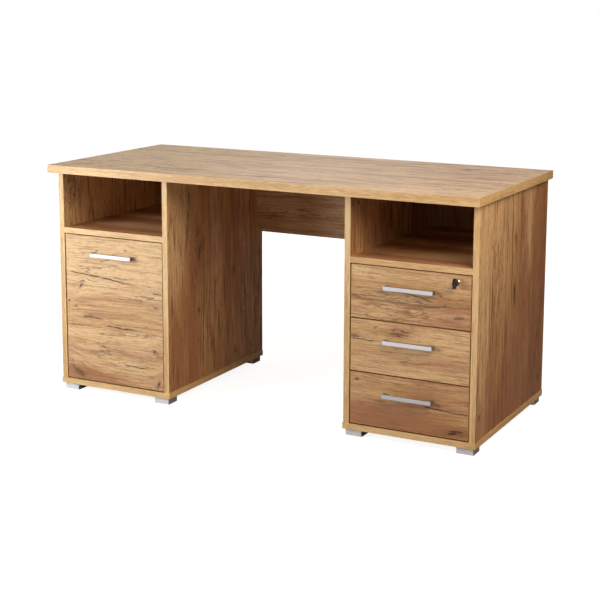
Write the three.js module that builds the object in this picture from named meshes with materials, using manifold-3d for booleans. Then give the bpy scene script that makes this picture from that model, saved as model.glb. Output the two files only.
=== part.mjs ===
// A two-pedestal teacher desk in oak-faced board. The left pedestal has an open compartment above a door,
// the right one an open compartment above three drawers on roller runners, and the top drawer has a cam lock.
//
// Frame: millimetres, +Z up, the origin on the floor under the middle of the top. The sitter's side, with the
// door and the drawers, faces -Y, and +X is to the sitter's right.

import * as THREE from 'three';
import { mergeVertices } from 'three/addons/utils/BufferGeometryUtils.js';
import Module from 'manifold-3d';

const wasm = await Module();
wasm.setup();

// ---------------------------------------------------------------- driving dimensions

const WIDTH = 1450;
const DEPTH = 650;
const HEIGHT = 740;
const TOP_THICKNESS = 25;
const BOARD = 18;

const SIDE_OVERHANG = 12; // of the top past the pedestals
const FRONT_OVERHANG = 40;
const REAR_OVERHANG = 10;

const PEDESTAL_WIDTH = 410;
const SHELF_UNDERSIDE = 518; // the fixed shelf that closes the door and drawer space
const BASE_PROUD = 2; // the base panel stands out past the sides and the front
const MODESTY_HEIGHT = 246;
const MODESTY_INSET = 18; // in front of the rear edges of the sides

const FOOT = { wide: 53, deep: 50, high: 20, inset: 5, corner: 3 };
const BACK_PANEL = { thickness: 3, inset: 7, tongue: 5.5 };
const GROOVE_PLAY = 0.25;

const FRONT_GAP = 3; // round the door and the drawer fronts
const FRONT_RECESS = 2;
const DRAWERS = ['bottom', 'middle', 'top'];

const HANDLE = { length: 152, high: 11.5, reach: 19, bar: 7, leg: 8, below: 58 };

const DRAWER_BOX = { board: 12, high: 100, long: 480, lift: 14, sideGap: 12.5 };
const DRAWER_FLOOR = { thickness: 3, above: 10, tongue: 5 };
const RUNNER = { sheet: 1.5, high: 22, deep: 10, long: 500, below: 4 };
const RUNNER_RAIL = { high: 12.5, web: 11, lip: 12, track: 4, rollerRoom: 26 };

const CAM_FITTING = { radius: 7.5, deep: 12.5, inset: 28, fromEnd: 53, shelfInset: 34 };
const SHELF_PINS = { radius: 2.5, deep: 10, pitch: 32, rows: 5, fromFront: 80, fromRear: 60 };
const LOOSE_SHELF = { underside: 270, setback: 40, play: 1 };

const PIVOT = { inset: 13, pin: 2.5, pinLong: 13.5, bush: 4.7, bushBore: 2.8, bore: 5, boreDeep: 15 };
const PIVOT_PLATE = { long: 40, wide: 16, thickness: 1.5, wallGap: 2 };

const LOCK = { fromWall: 47, below: 23, barrel: 8, bore: 8.3, tail: 2.5 };
const ROSETTE = { radius: 10, high: 2, chamfer: 1.5 };
const PLUG = { radius: 5.4, bore: 5.7, proud: 0.5, keywayHigh: 7.8, keywayWide: 2.7, keywayDeep: 19 };
const LEVER = { reach: 36, wide: 14, thickness: 3, play: 0.5, boss: 4, bossLong: 1.5 };
const LEVER_SLOT = { left: 28, right: 9, front: 2.5, wide: 8, deep: 12.5 };
const KEY = { blade: 2, bladeHigh: 7, bladeLong: 17.5, neck: 2 };
const KEY_HEAD = { thickness: 6, deep: 23, high: 29, ring: 3.25, ringAt: 0.72 };

const ROUND_STEPS = 32;
const BORE_STEPS = 20;
const PIN_BORE_STEPS = 12;
const PAST = 1; // how far a cutting tool runs past the face it cuts

// ---------------------------------------------------------------- planes worked out from them

const topZ = [HEIGHT - TOP_THICKNESS, HEIGHT];
const baseZ = [FOOT.high, FOOT.high + BOARD];
const sideZ = [baseZ[1], topZ[0]];
const shelfZ = [SHELF_UNDERSIDE, SHELF_UNDERSIDE + BOARD];
const sideY = [-DEPTH / 2 + FRONT_OVERHANG, DEPTH / 2 - REAR_OVERHANG];
const frontY = [sideY[0] + FRONT_RECESS, sideY[0] + FRONT_RECESS + BOARD];
const backY = [sideY[1] - BACK_PANEL.inset - BACK_PANEL.thickness, sideY[1] - BACK_PANEL.inset];
const outerX = WIDTH / 2 - SIDE_OVERHANG;
const innerX = outerX - PEDESTAL_WIDTH;

// The clear width inside a pedestal, between its two sides.
const bayX = { left: [-outerX + BOARD, -innerX - BOARD], right: [innerX + BOARD, outerX - BOARD] };
const frontZ = [sideZ[0] + FRONT_GAP, SHELF_UNDERSIDE - FRONT_GAP];
const leverFront = frontY[1] + LOCK.tail + LEVER.play;
const drawerFrontHigh = (frontZ[1] - frontZ[0] - FRONT_GAP * (DRAWERS.length - 1)) / DRAWERS.length;

// ---------------------------------------------------------------- shapes

// The range between two coordinates, whichever of them is the lower.
function range(a, b) {
  return [Math.min(a, b), Math.max(a, b)];
}

function block([x0, x1], [y0, y1], [z0, z1]) {
  const geometry = new THREE.BoxGeometry(x1 - x0, y1 - y0, z1 - z0);
  return geometry.translate((x0 + x1) / 2, (y0 + y1) / 2, (z0 + z1) / 2);
}

// A cylinder that starts at a point and runs along an axis; a negative length runs backwards.
function rod(radius, [x, y, z], axis, length, steps = BORE_STEPS) {
  const geometry = new THREE.CylinderGeometry(radius, radius, Math.abs(length), steps);
  geometry.translate(0, length / 2, 0);
  if (axis === 'x') geometry.rotateZ(-Math.PI / 2);
  if (axis === 'z') geometry.rotateX(Math.PI / 2);
  return geometry.translate(x, y, z);
}

function extrude(outline, depth, curveSegments) {
  return new THREE.ExtrudeGeometry(outline, { depth, bevelEnabled: false, curveSegments });
}

// A plate cut to an outline drawn in the YZ plane or the XZ plane, centred across its thickness.
function plate(outline, thickness, plane) {
  const geometry = extrude(outline, thickness, 12);
  geometry.translate(0, 0, -thickness / 2);
  if (plane === 'xz') return geometry.rotateX(Math.PI / 2);
  return geometry.applyMatrix4(new THREE.Matrix4().set(0, 0, 1, 0, 1, 0, 0, 0, 0, 1, 0, 0, 0, 0, 0, 1));
}

function toSolid(geometry) {
  const bare = geometry.clone();
  bare.deleteAttribute('normal');
  bare.deleteAttribute('uv');
  const merged = mergeVertices(bare, 1e-4);
  const mesh = new wasm.Mesh({
    numProp: 3,
    vertProperties: new Float32Array(merged.attributes.position.array),
    triVerts: new Uint32Array(merged.index.array),
  });
  return new wasm.Manifold(mesh);
}

function toGeometry(solid) {
  const mesh = solid.getMesh();
  const geometry = new THREE.BufferGeometry();
  geometry.setAttribute('position', new THREE.BufferAttribute(new Float32Array(mesh.vertProperties), 3));
  geometry.setIndex(new THREE.BufferAttribute(new Uint32Array(mesh.triVerts), 1));
  return geometry;
}

function join(...shapes) {
  return toGeometry(shapes.map(toSolid).reduce((whole, piece) => whole.add(piece)));
}

function cut(shape, ...tools) {
  return toGeometry(tools.map(toSolid).reduce((whole, tool) => whole.subtract(tool), toSolid(shape)));
}

// ---------------------------------------------------------------- materials

function finish(color, roughness, metalness = 0) {
  return () => new THREE.MeshStandardMaterial({ color, roughness, metalness });
}

const oak = finish(0xc79d66, 0.5);
const hardboard = finish(0xb08a5c, 0.7);
const drawerFoil = finish(0xd9d6cf, 0.55);
const runnerWhite = finish(0xe4e4e1, 0.35, 0.2);
const satinSilver = finish(0xd5d5d8, 0.35, 0.8);
const chrome = finish(0xdcdde0, 0.12, 1);
const zinc = finish(0xa9abad, 0.4, 0.9);
const nylon = finish(0x2b2b2d, 0.5);
const blackPlastic = finish(0x17171a, 0.4);

// ---------------------------------------------------------------- assembly

const desk = new THREE.Group();

function add(name, geometry, material) {
  const mesh = new THREE.Mesh(geometry, material());
  mesh.name = name;
  desk.add(mesh);
}

// Camlock bores in the face of a side board at x = wall, towards its middle plane (into = -1 or 1).
function camBores(wall, into) {
  const z = topZ[0] - CAM_FITTING.inset;
  const places = [sideY[0] + CAM_FITTING.fromEnd, sideY[1] - CAM_FITTING.fromEnd];
  const length = into * (CAM_FITTING.deep + PAST);
  return places.map((y) => rod(CAM_FITTING.radius, [wall - into * PAST, y, z], 'x', length));
}

function shelfPinBores(wall, into) {
  const bores = [];
  for (const y of [sideY[0] + SHELF_PINS.fromFront, sideY[1] - SHELF_PINS.fromRear]) {
    for (let row = 0; row < SHELF_PINS.rows; row += 1) {
      const steps = row - (SHELF_PINS.rows - 1) / 2;
      const z = LOOSE_SHELF.underside - SHELF_PINS.radius + steps * SHELF_PINS.pitch;
      const length = into * (SHELF_PINS.deep + PAST);
      bores.push(rod(SHELF_PINS.radius, [wall - into * PAST, y, z], 'x', length, PIN_BORE_STEPS));
    }
  }
  return bores;
}

// A pedestal side: bored for the fittings and grooved for the back panel on the face towards the bay.
function sideBoard(bayWall, into, withShelfPins) {
  const x = range(bayWall, bayWall + into * BOARD);
  const depth = BACK_PANEL.tongue + GROOVE_PLAY;
  const grooveX = range(bayWall - into * PAST, bayWall + into * depth);
  const grooveY = [backY[0] - GROOVE_PLAY, backY[1] + GROOVE_PLAY];
  const groove = block(grooveX, grooveY, [sideZ[0] - PAST, sideZ[1] + PAST]);
  const pins = withShelfPins ? shelfPinBores(bayWall, into) : [];
  return cut(block(x, sideY, sideZ), groove, ...camBores(bayWall, into), ...pins);
}

// The shelf's cam fittings are let into its underside near its four corners.
function fixedShelf(bay, ...slots) {
  const tools = [...slots];
  for (const x of [bay[0] + CAM_FITTING.shelfInset, bay[1] - CAM_FITTING.shelfInset]) {
    for (const y of [sideY[0] + CAM_FITTING.fromEnd, backY[0] - CAM_FITTING.fromEnd]) {
      tools.push(rod(CAM_FITTING.radius, [x, y, shelfZ[0] - PAST], 'z', CAM_FITTING.deep + PAST));
    }
  }
  return cut(block(bay, [sideY[0], backY[0]], shelfZ), ...tools);
}

function foot(x, y) {
  const [w, d, r] = [FOOT.wide / 2, FOOT.deep / 2, FOOT.corner];
  const outline = new THREE.Shape();
  outline.moveTo(-w + r, -d).lineTo(w - r, -d).absarc(w - r, -d + r, r, -Math.PI / 2, 0);
  outline.lineTo(w, d - r).absarc(w - r, d - r, r, 0, Math.PI / 2);
  outline.lineTo(-w + r, d).absarc(-w + r, d - r, r, Math.PI / 2, Math.PI);
  outline.lineTo(-w, -d + r).absarc(-w + r, -d + r, r, Math.PI, 1.5 * Math.PI);
  return extrude(outline, FOOT.high, 6).translate(x, y, 0);
}

function pedestal(side, slots) {
  const outward = side === 'left' ? -1 : 1;
  const bay = bayX[side];
  const [outerWall, innerWall] = outward < 0 ? bay : [bay[1], bay[0]];
  const withShelfPins = side === 'left';
  add(`${side}_outer_side`, sideBoard(outerWall, outward, withShelfPins), oak);
  add(`${side}_inner_side`, sideBoard(innerWall, -outward, withShelfPins), oak);

  const shellX = [bay[0] - BOARD, bay[1] + BOARD];
  const baseX = [shellX[0] - BASE_PROUD, shellX[1] + BASE_PROUD];
  add(`${side}_base_panel`, block(baseX, [sideY[0] - BASE_PROUD, sideY[1]], baseZ), oak);
  add(`${side}_fixed_shelf`, fixedShelf(bay, ...slots), oak);
  const backX = [bay[0] - BACK_PANEL.tongue, bay[1] + BACK_PANEL.tongue];
  add(`${side}_back_panel`, block(backX, backY, sideZ), hardboard);

  const footX = { outer: outward * (outerX - FOOT.inset - FOOT.wide / 2) };
  footX.inner = outward * (innerX + FOOT.inset + FOOT.wide / 2);
  const footY = { front: sideY[0] + FOOT.inset + FOOT.deep / 2, rear: sideY[1] - FOOT.inset - FOOT.deep / 2 };
  for (const across of ['outer', 'inner']) {
    for (const along of ['front', 'rear']) {
      add(`${side}_foot_${across}_${along}`, foot(footX[across], footY[along]), satinSilver);
    }
  }
}

// A U-shaped bar handle on the front face y = frontY[0], its ends flush with its legs.
function handle(x, z) {
  const { length, high, reach, bar, leg } = HANDLE;
  const half = length / 2;
  const zs = [z - high / 2, z + high / 2];
  const barY = [frontY[0] - reach, frontY[0] - reach + bar];
  return join(
    block([x - half, x + half], barY, zs),
    block([x - half, x - half + leg], [barY[0], frontY[0]], zs),
    block([x + half - leg, x + half], [barY[0], frontY[0]], zs),
  );
}

// The door turns on two plain pins, one in its upper edge and one in its lower edge.
function doorAndPivots() {
  const doorX = [bayX.left[0] + FRONT_GAP, bayX.left[1] - FRONT_GAP];
  const axisX = doorX[0] + PIVOT.inset;
  const axisY = (frontY[0] + frontY[1]) / 2;
  const bores = [
    rod(PIVOT.bore, [axisX, axisY, frontZ[0] - PAST], 'z', PIVOT.boreDeep + PAST),
    rod(PIVOT.bore, [axisX, axisY, frontZ[1] + PAST], 'z', -PIVOT.boreDeep - PAST),
  ];
  add('door', cut(block(doorX, frontY, frontZ), ...bores), oak);
  add('door_handle', handle((doorX[0] + doorX[1]) / 2, frontZ[1] - HANDLE.below), satinSilver);

  const clearance = PIVOT.bore - PIVOT.bush;
  const bushLong = PIVOT.boreDeep - 2 * clearance;
  const ends = {
    lower: { edge: frontZ[0], seat: sideZ[0], up: 1 },
    upper: { edge: frontZ[1], seat: SHELF_UNDERSIDE, up: -1 },
  };
  for (const [end, { edge, seat, up }] of Object.entries(ends)) {
    const start = [axisX, axisY, edge + up * clearance];
    const sleeve = cut(
      rod(PIVOT.bush, start, 'z', up * bushLong),
      rod(PIVOT.bushBore, [axisX, axisY, edge - up * PAST], 'z', up * (PIVOT.boreDeep + 2 * PAST)),
    );
    add(`door_bush_${end}`, sleeve, nylon);

    const plateStart = bayX.left[0] + PIVOT_PLATE.wallGap;
    const plateX = [plateStart, plateStart + PIVOT_PLATE.long];
    const plateY = [axisY - PIVOT_PLATE.wide / 2, axisY + PIVOT_PLATE.wide / 2];
    const plateZ = range(seat, seat + up * PIVOT_PLATE.thickness);
    const pinStart = [axisX, axisY, seat + (up * PIVOT_PLATE.thickness) / 2];
    const pin = rod(PIVOT.pin, pinStart, 'z', up * PIVOT.pinLong);
    add(`door_pivot_${end}`, join(block(plateX, plateY, plateZ), pin), zinc);
  }
}

function looseShelf() {
  const x = [bayX.left[0] + LOOSE_SHELF.play, bayX.left[1] - LOOSE_SHELF.play];
  const y = [sideY[0] + LOOSE_SHELF.setback, backY[0] - LOOSE_SHELF.play];
  add('cupboard_shelf', block(x, y, [LOOSE_SHELF.underside, LOOSE_SHELF.underside + BOARD]), oak);
}

// One drawer, and the pair of channels it runs in. Its bottom board sits in grooves.
function drawer(name, index, frontBores) {
  const bay = bayX.right;
  const front = frontZ[0] + index * (drawerFrontHigh + FRONT_GAP);
  const zs = [front, front + drawerFrontHigh];
  const frontX = [bay[0] + FRONT_GAP, bay[1] - FRONT_GAP];
  const boxX = [bay[0] + DRAWER_BOX.sideGap, bay[1] - DRAWER_BOX.sideGap];
  const boxY = [frontY[1], frontY[1] + DRAWER_BOX.long];
  const boxZ = [front + DRAWER_BOX.lift, front + DRAWER_BOX.lift + DRAWER_BOX.high];
  const innerSides = [boxX[0] + DRAWER_BOX.board, boxX[1] - DRAWER_BOX.board];

  const floorZ = [boxZ[0] + DRAWER_FLOOR.above, boxZ[0] + DRAWER_FLOOR.above + DRAWER_FLOOR.thickness];
  const floorX = [innerSides[0] - DRAWER_FLOOR.tongue, innerSides[1] + DRAWER_FLOOR.tongue];
  const grooves = block(
    [floorX[0] - GROOVE_PLAY, floorX[1] + GROOVE_PLAY],
    [boxY[0] - DRAWER_FLOOR.tongue - GROOVE_PLAY, boxY[1] + PAST],
    [floorZ[0] - GROOVE_PLAY, floorZ[1] + GROOVE_PLAY],
  );

  add(`${name}_drawer_front`, cut(block(frontX, frontY, zs), grooves, ...frontBores), oak);
  add(`${name}_drawer_handle`, handle((frontX[0] + frontX[1]) / 2, zs[1] - HANDLE.below), satinSilver);
  add(`${name}_drawer_side_left`, cut(block([boxX[0], innerSides[0]], boxY, boxZ), grooves), drawerFoil);
  add(`${name}_drawer_side_right`, cut(block([innerSides[1], boxX[1]], boxY, boxZ), grooves), drawerFoil);
  const rearY = [boxY[1] - DRAWER_BOX.board, boxY[1]];
  add(`${name}_drawer_back`, block(innerSides, rearY, [floorZ[1], boxZ[1]]), drawerFoil);
  add(`${name}_drawer_bottom`, block(floorX, [boxY[0] - DRAWER_FLOOR.tongue, boxY[1]], floorZ), drawerFoil);

  for (const [side, wall, inward] of [['left', bay[0], 1], ['right', bay[1], -1]]) {
    const across = (a, b) => range(wall + inward * a, wall + inward * b);
    add(`${name}_drawer_runner_${side}`, drawerRunner(across, boxY, boxZ[0]), runnerWhite);
    add(`${name}_cabinet_runner_${side}`, cabinetRunner(across, boxY[0], boxZ[0]), runnerWhite);
  }
}

// The drawer's rail: it wraps the lower edge of the drawer side and has a flange that rides on the rollers.
function drawerRunner(across, [front, rear], z) {
  const { high, web, lip, track, rollerRoom } = RUNNER_RAIL;
  const sheet = RUNNER.sheet;
  const y = [front, rear];
  return join(
    block(across(web, web + sheet), y, [z - sheet, z + high]),
    block(across(web, web + sheet + lip), y, [z - sheet, z]),
    block(across(track, web + sheet), [front, rear - rollerRoom], [z + high - sheet, z + high]),
  );
}

// The pedestal's channel, open towards the drawer, screwed to the side board.
function cabinetRunner(across, front, z) {
  const { sheet, high, deep, long, below } = RUNNER;
  const y = [front, front + long];
  const zs = [z - below, z - below + high];
  return join(
    block(across(0, sheet), y, zs),
    block(across(0, deep), y, [zs[0], zs[0] + sheet]),
    block(across(0, deep), y, [zs[1] - sheet, zs[1]]),
  );
}

// The lock's barrel with its rosette, turned about the Y axis.
function barrel([x, y, z]) {
  const end = frontY[1] + LOCK.tail;
  const profile = [
    [PLUG.bore, y - ROSETTE.high],
    [ROSETTE.radius - ROSETTE.chamfer, y - ROSETTE.high],
    [ROSETTE.radius, y - ROSETTE.high + ROSETTE.chamfer],
    [ROSETTE.radius, y],
    [LOCK.barrel, y],
    [LOCK.barrel, end],
    [PLUG.bore, end],
    [PLUG.bore, y - ROSETTE.high],
  ];
  const points = profile.map(([radius, along]) => new THREE.Vector2(radius, along));
  return new THREE.LatheGeometry(points, ROUND_STEPS).translate(x, 0, z);
}

// The plug, with its keyway and the lever on its tail. The lever lies level, towards the drawer's middle.
function plugAndLever([x, y, z]) {
  const face = y - ROSETTE.high - PLUG.proud;
  const leverY = [leverFront, leverFront + LEVER.thickness];
  const half = LEVER.wide / 2;
  const outline = new THREE.Shape();
  outline.absarc(0, 0, half, -Math.PI / 2, Math.PI / 2);
  outline.lineTo(-LEVER.reach + half, half);
  outline.absarc(-LEVER.reach + half, 0, half, Math.PI / 2, 1.5 * Math.PI);
  const lever = plate(outline, LEVER.thickness, 'xz').translate(x, (leverY[0] + leverY[1]) / 2, z);
  const keywayX = [x - PLUG.keywayWide / 2, x + PLUG.keywayWide / 2];
  const keywayZ = [z - PLUG.keywayHigh / 2, z + PLUG.keywayHigh / 2];
  const tail = rod(LEVER.boss, [x, leverY[0], z], 'y', LEVER.thickness + LEVER.bossLong);
  const plug = rod(PLUG.radius, [x, face, z], 'y', leverY[0] - face + LEVER.thickness / 2, ROUND_STEPS);
  return cut(join(plug, lever, tail), block(keywayX, [face - PAST, face + PLUG.keywayDeep], keywayZ));
}

// The key: a flat blade and an upright oval head with a hole for a ring.
function key([x, y, z]) {
  const face = y - ROSETTE.high - PLUG.proud;
  const headEnd = face - KEY.neck;
  const outline = new THREE.Shape();
  outline.absellipse(-KEY_HEAD.deep / 2, 0, KEY_HEAD.deep / 2, KEY_HEAD.high / 2, 0, 2 * Math.PI);
  const hole = new THREE.Path();
  hole.absarc(-KEY_HEAD.deep * KEY_HEAD.ringAt, 0, KEY_HEAD.ring, 0, 2 * Math.PI);
  outline.holes.push(hole);
  const head = plate(outline, KEY_HEAD.thickness, 'yz').translate(x, headEnd, z);
  const bladeZ = [z - KEY.bladeHigh / 2, z + KEY.bladeHigh / 2];
  const bladeX = [x - KEY.blade / 2, x + KEY.blade / 2];
  const blade = block(bladeX, [headEnd - KEY.neck, face + KEY.bladeLong], bladeZ);
  return join(head, blade);
}

// ---------------------------------------------------------------- the desk

const lockAt = [bayX.right[1] - LOCK.fromWall, frontY[0], frontZ[1] - LOCK.below];
const lockBoreStart = [lockAt[0], frontY[0] - PAST, lockAt[2]];
const lockBore = rod(LOCK.bore, lockBoreStart, 'y', BOARD + 2 * PAST, ROUND_STEPS);
const leverSlot = block(
  [lockAt[0] - LEVER_SLOT.left, lockAt[0] + LEVER_SLOT.right],
  [leverFront - LEVER_SLOT.front, leverFront - LEVER_SLOT.front + LEVER_SLOT.wide],
  [shelfZ[0] - PAST, shelfZ[0] + LEVER_SLOT.deep],
);

add('desk_top', block([-WIDTH / 2, WIDTH / 2], [-DEPTH / 2, DEPTH / 2], topZ), oak);
pedestal('left', []);
pedestal('right', [leverSlot]);

const modestyY = [sideY[1] - MODESTY_INSET - BOARD, sideY[1] - MODESTY_INSET];
const modestyZ = [topZ[0] - MODESTY_HEIGHT, topZ[0]];
const modestyBores = [];
for (const x of [-innerX + CAM_FITTING.shelfInset, innerX - CAM_FITTING.shelfInset]) {
  for (const z of [modestyZ[0] + CAM_FITTING.shelfInset, modestyZ[1] - CAM_FITTING.shelfInset]) {
    modestyBores.push(rod(CAM_FITTING.radius, [x, modestyY[1] + PAST, z], 'y', -CAM_FITTING.deep - PAST));
  }
}
add('modesty_panel', cut(block([-innerX, innerX], modestyY, modestyZ), ...modestyBores), oak);

looseShelf();
doorAndPivots();
DRAWERS.forEach((name, index) => drawer(name, index, name === 'top' ? [lockBore] : []));

add('lock_barrel', barrel(lockAt), chrome);
add('lock_plug', plugAndLever(lockAt), zinc);
add('lock_key', key(lockAt), blackPlastic);

export default desk;
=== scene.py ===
"""The looks of the teacher desk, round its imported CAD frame: camera, light, materials and small fittings."""

import math
from functools import partial

import bmesh
import bpy
from mathutils import Matrix, Vector


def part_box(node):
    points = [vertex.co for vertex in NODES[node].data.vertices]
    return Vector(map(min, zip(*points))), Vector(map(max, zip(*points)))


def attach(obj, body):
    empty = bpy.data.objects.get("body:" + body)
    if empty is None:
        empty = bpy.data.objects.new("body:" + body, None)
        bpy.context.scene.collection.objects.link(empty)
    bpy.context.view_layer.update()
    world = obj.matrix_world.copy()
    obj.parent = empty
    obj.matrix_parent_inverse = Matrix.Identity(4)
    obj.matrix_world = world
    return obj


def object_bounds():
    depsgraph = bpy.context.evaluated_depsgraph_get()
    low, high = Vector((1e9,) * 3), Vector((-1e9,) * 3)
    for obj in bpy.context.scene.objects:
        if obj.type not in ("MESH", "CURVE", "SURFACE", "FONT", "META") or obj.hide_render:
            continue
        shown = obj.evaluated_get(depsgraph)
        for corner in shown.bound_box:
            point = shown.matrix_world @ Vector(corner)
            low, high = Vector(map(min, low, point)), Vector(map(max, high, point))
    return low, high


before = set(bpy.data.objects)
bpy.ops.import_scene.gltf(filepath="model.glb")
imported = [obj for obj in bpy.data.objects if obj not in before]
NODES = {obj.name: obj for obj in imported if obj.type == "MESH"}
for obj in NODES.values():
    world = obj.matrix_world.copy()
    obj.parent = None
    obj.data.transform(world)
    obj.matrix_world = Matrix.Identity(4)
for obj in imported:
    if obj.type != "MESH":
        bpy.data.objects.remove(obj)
cad_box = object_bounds()
MM = 0.001


# ---------------------------------------- camera, floor and light

CAMERA_AZIMUTH = 27.593
CAMERA_PITCH = 9.274
CAMERA_ROLL = 0.182
CAMERA_PLACE = Vector((2.0024, -3.8139, 1.3083))
CAMERA_SENSOR = 36
CAMERA_LENS = 83.13
CAMERA_SHIFT = -0.15

# How strongly the white world lights the desk; the camera sees it at full strength.
AMBIENT = 0.022
LIGHT_TARGET = Vector((0, 0, 0.45))
# name, azimuth from the front towards +X, elevation, distance, size, power and colour
LIGHTS = [
    ("key", -40, 12, 2.4, (1.2, 1.2), 41, (1.0, 1.0, 1.0)),
    ("fill", 60, 32, 2.4, (1.2, 1.2), 35, (1.0, 0.81, 0.645)),
    ("rear", -165, 35, 3.4, (2.2, 1.4), 28, (1.0, 0.94, 0.87)),
    ("rear_left", -120, 35, 3.4, (2.2, 1.4), 10, (1.0, 1.0, 1.0)),
]
# White cards that only glossy surfaces see: name, place, target, size, power and colour
CARDS = [
    ("rear_card", (-2.7, 3.2, 2.2), (-0.4, 0, 0.74), (3.5, 1.6), 24, (1.0, 0.88, 0.72)),
    ("floor_card", (-1.0, -2.7, 0.05), (-1.0, -2.7, 2.0), (4.2, 4.2), 48, (1.0, 1.0, 1.0)),
]

FLOOR_HALF = 14.0
FLOOR_GAP = 0.5 * MM
FLOOR_GREY = 0.36
# The floor's glow to the camera: its strength near the desk, how much it gains, and between which radii.
GLOW, GLOW_GAIN, GLOW_RADII = 0.90, 0.12, (0.9, 1.9)


def aimed(place, direction):
    """The matrix of an object at a place, with its -Z along a direction."""
    return Matrix.Translation(place) @ direction.to_track_quat("-Z", "Y").to_matrix().to_4x4()


def heading(azimuth, elevation):
    """The way out from the desk: azimuth from the front towards +X, elevation from level, in degrees."""
    azimuth, elevation = math.radians(azimuth), math.radians(elevation)
    level = math.cos(elevation)
    return Vector((math.sin(azimuth) * level, -math.cos(azimuth) * level, math.sin(elevation)))


def make_camera():
    data = bpy.data.cameras.new("camera")
    data.sensor_width = CAMERA_SENSOR
    data.lens = CAMERA_LENS
    data.shift_y = CAMERA_SHIFT
    camera = bpy.data.objects.new("camera", data)
    roll = Matrix.Rotation(math.radians(CAMERA_ROLL), 4, "Z")
    camera.matrix_world = aimed(CAMERA_PLACE, -heading(CAMERA_AZIMUTH, CAMERA_PITCH)) @ roll
    bpy.context.scene.collection.objects.link(camera)
    bpy.context.scene.camera = camera


def area_light(name, place, target, size, power, colour):
    data = bpy.data.lights.new(name, "AREA")
    data.shape = "RECTANGLE"
    data.size, data.size_y = size
    data.energy = power
    data.color = colour
    light = bpy.data.objects.new(name, data)
    light.matrix_world = aimed(place, Vector(target) - Vector(place))
    bpy.context.scene.collection.objects.link(light)
    return light


def make_studio():
    scene = bpy.context.scene
    scene.view_settings.view_transform = "Standard"
    world = bpy.data.worlds.new("studio")
    scene.world = world
    world.use_nodes = True
    graph = Graph(world.node_tree)
    background = world.node_tree.nodes["Background"]
    seen = graph.node("ShaderNodeLightPath").outputs["Is Camera Ray"]
    graph.put(background.inputs["Strength"], Value(graph, seen) * (1.0 - AMBIENT) + AMBIENT)
    background.inputs["Color"].default_value = (1, 1, 1, 1)

    for name, azimuth, elevation, distance, size, power, colour in LIGHTS:
        place = LIGHT_TARGET + heading(azimuth, elevation) * distance
        area_light(name, place, LIGHT_TARGET, size, power, colour)
    for name, place, target, size, power, colour in CARDS:
        card = area_light(name, place, target, size, power, colour)
        card.visible_camera = False
        card.visible_diffuse = False

    mesh = bpy.data.meshes.new("floor")
    corners = [(FLOOR_HALF * x, FLOOR_HALF * y, 0) for x, y in ((-1, -1), (1, -1), (1, 1), (-1, 1))]
    mesh.from_pydata(corners, [], [(0, 1, 2, 3)])
    floor = bpy.data.objects.new("floor", mesh)
    scene.collection.objects.link(floor)
    floor.location.z = cad_box[0].z - FLOOR_GAP
    floor.data.materials.append(floor_material())


def floor_material():
    """White to the camera, with only a trace of shadow; a mid grey to the light that it throws back."""
    material, graph, shader = new_material("pale_floor")
    tree = material.node_tree
    shader.inputs["Base Color"].default_value = (FLOOR_GREY, FLOOR_GREY, FLOOR_GREY, 1)
    shader.inputs["Roughness"].default_value = 1.0
    shader.inputs["Specular IOR Level"].default_value = 0.0
    (x, y, _), _ = graph.place()
    far = graph.math("SQRT", x * x + y * y)
    glow = graph.node("ShaderNodeEmission")
    graph.put(glow.inputs["Strength"], graph.step(far, *GLOW_RADII) * GLOW_GAIN + GLOW)
    both = graph.node("ShaderNodeAddShader")
    tree.links.new(shader.outputs[0], both.inputs[0])
    tree.links.new(glow.outputs[0], both.inputs[1])
    choice = graph.node("ShaderNodeMixShader")
    graph.put(choice.inputs[0], graph.node("ShaderNodeLightPath").outputs["Is Camera Ray"])
    tree.links.new(shader.outputs[0], choice.inputs[1])
    tree.links.new(both.outputs[0], choice.inputs[2])
    tree.links.new(choice.outputs[0], tree.nodes["Material Output"].inputs["Surface"])
    return material


# ---------------------------------------- node trees written as formulas


class Value:
    """A number that flows through a node tree."""

    def __init__(self, graph, socket):
        self.graph = graph
        self.socket = socket

    def __add__(self, other):
        return self.graph.math("ADD", self, other)

    def __radd__(self, other):
        return self.graph.math("ADD", other, self)

    def __sub__(self, other):
        return self.graph.math("SUBTRACT", self, other)

    def __rsub__(self, other):
        return self.graph.math("SUBTRACT", other, self)

    def __mul__(self, other):
        return self.graph.math("MULTIPLY", self, other)

    def __truediv__(self, other):
        return self.graph.math("DIVIDE", self, other)

    def __pow__(self, other):
        return self.graph.math("POWER", self, other)

    def __abs__(self):
        return self.graph.math("ABSOLUTE", self)


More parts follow.
